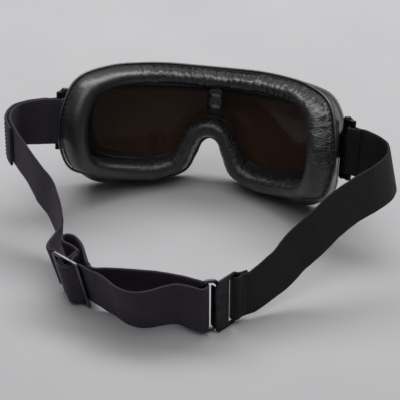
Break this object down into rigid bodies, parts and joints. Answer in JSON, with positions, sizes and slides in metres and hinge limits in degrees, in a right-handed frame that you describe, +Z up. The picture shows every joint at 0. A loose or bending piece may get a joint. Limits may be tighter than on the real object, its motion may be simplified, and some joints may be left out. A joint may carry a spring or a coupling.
{
  "type": "goggles",
  "caption": "Black padded goggles with flat tinted panes in a one-piece frame, hinged strap lugs, a webbing head strap with a metal slide and a hook-and-ring clasp.",
  "frame": {"origin": "bottom centre of the box around the goggles and their strap, standing on the frame's lower edge with the strap lying in its loop behind", "axes": "+X to the wearer's left, +Y towards the back of the head strap, +Z up"},
  "size_m": [0.2479, 0.2064, 0.084],
  "materials": {
    "pad_leather": "gathered, glossy black",
    "pad_foam": "open-cell foam",
    "frame_plastic": "smooth black",
    "lens_tint": "dark smoke tint, polished",
    "gasket_rubber": "matt",
    "strap_webbing": "flat woven webbing, matt",
    "bright_steel": "polished plate",
    "dark_steel": "dark grey"
  },
  "bodies": {
    "goggle_frame": {"lens_frame": "frame_plastic", "side_skirt": "pad_leather", "pad_welt": "pad_leather", "face_pad": "pad_leather", "pad_foam": "pad_foam", "lens_left": "lens_tint", "lens_right": "lens_tint", "lens_gasket_left": "gasket_rubber", "lens_gasket_right": "gasket_rubber", "divider_bar": "bright_steel", "divider_strip": "bright_steel", "divider_clip_upper": "bright_steel", "divider_clip_lower": "bright_steel", "hinge_bracket_left": "dark_steel", "hinge_bracket_right": "dark_steel", "rivet_left_lower": "bright_steel", "rivet_left_upper": "bright_steel", "rivet_right_lower": "bright_steel", "rivet_right_upper": "bright_steel", "hinge_pin_left": "bright_steel", "hinge_pin_right": "bright_steel", "strap_left_sewn_end": "strap_webbing", "strap_left_bend": "strap_webbing", "strap_left_run": "strap_webbing", "strap_left_run_end": "strap_webbing", "strap_left_slack_loop": "strap_webbing", "strap_left_front_start": "strap_webbing", "strap_left_front_layer": "strap_webbing", "strap_left_back_layer": "strap_webbing", "strap_left_ring_fold": "strap_webbing", "strap_right_bend": "strap_webbing", "strap_right_run_upper": "strap_webbing", "strap_right_run_lower": "strap_webbing", "strap_right_clasp_loop": "strap_webbing"},
    "lug_left": {"lug_left": "dark_steel", "strap_left_lug_loop": "strap_webbing"},
    "lug_right": {"lug_right": "dark_steel", "strap_right_lug_loop": "strap_webbing"},
    "strap_slide": {"slide": "bright_steel", "strap_left_weave": "strap_webbing", "strap_left_bar_loop": "strap_webbing"},
    "clasp_ring": {"clasp_ring": "bright_steel"},
    "clasp_hook": {"clasp_hook": "dark_steel"}
  },
  "joints": [
    {"name": "left_lug_hinge", "type": "hinge", "parent": "goggle_frame", "child": "lug_left", "pos_m": [0.0948, -0.04655, 0.0511], "axis": [0, -0.2857, 0.9583], "range_deg": [-80, 5], "deforming": ["strap_left_bend", "strap_left_sewn_end"]},
    {"name": "right_lug_hinge", "type": "hinge", "parent": "goggle_frame", "child": "lug_right", "pos_m": [-0.0888, -0.04655, 0.0511], "axis": [0, -0.2857, 0.9583], "range_deg": [-25, 58], "deforming": ["strap_right_bend"]},
    {"name": "strap_slide_travel", "type": "slide", "parent": "goggle_frame", "child": "strap_slide", "axis": [0.8616, -0.5075, 0], "range_m": [-0.006, 0.01], "deforming": ["strap_left_run_end", "strap_left_front_start", "strap_left_slack_loop"]},
    {"name": "clasp_ring_swing", "type": "hinge", "parent": "goggle_frame", "child": "clasp_ring", "pos_m": [-0.02496, 0.08844, 0.0182], "axis": [0, 0, 1], "range_deg": [0, 60]},
    {"name": "clasp_hook_swing", "type": "hinge", "parent": "goggle_frame", "child": "clasp_hook", "pos_m": [-0.04189, 0.07536, 0.0182], "axis": [0, 0, 1], "range_deg": [0, 60]}
  ]
}
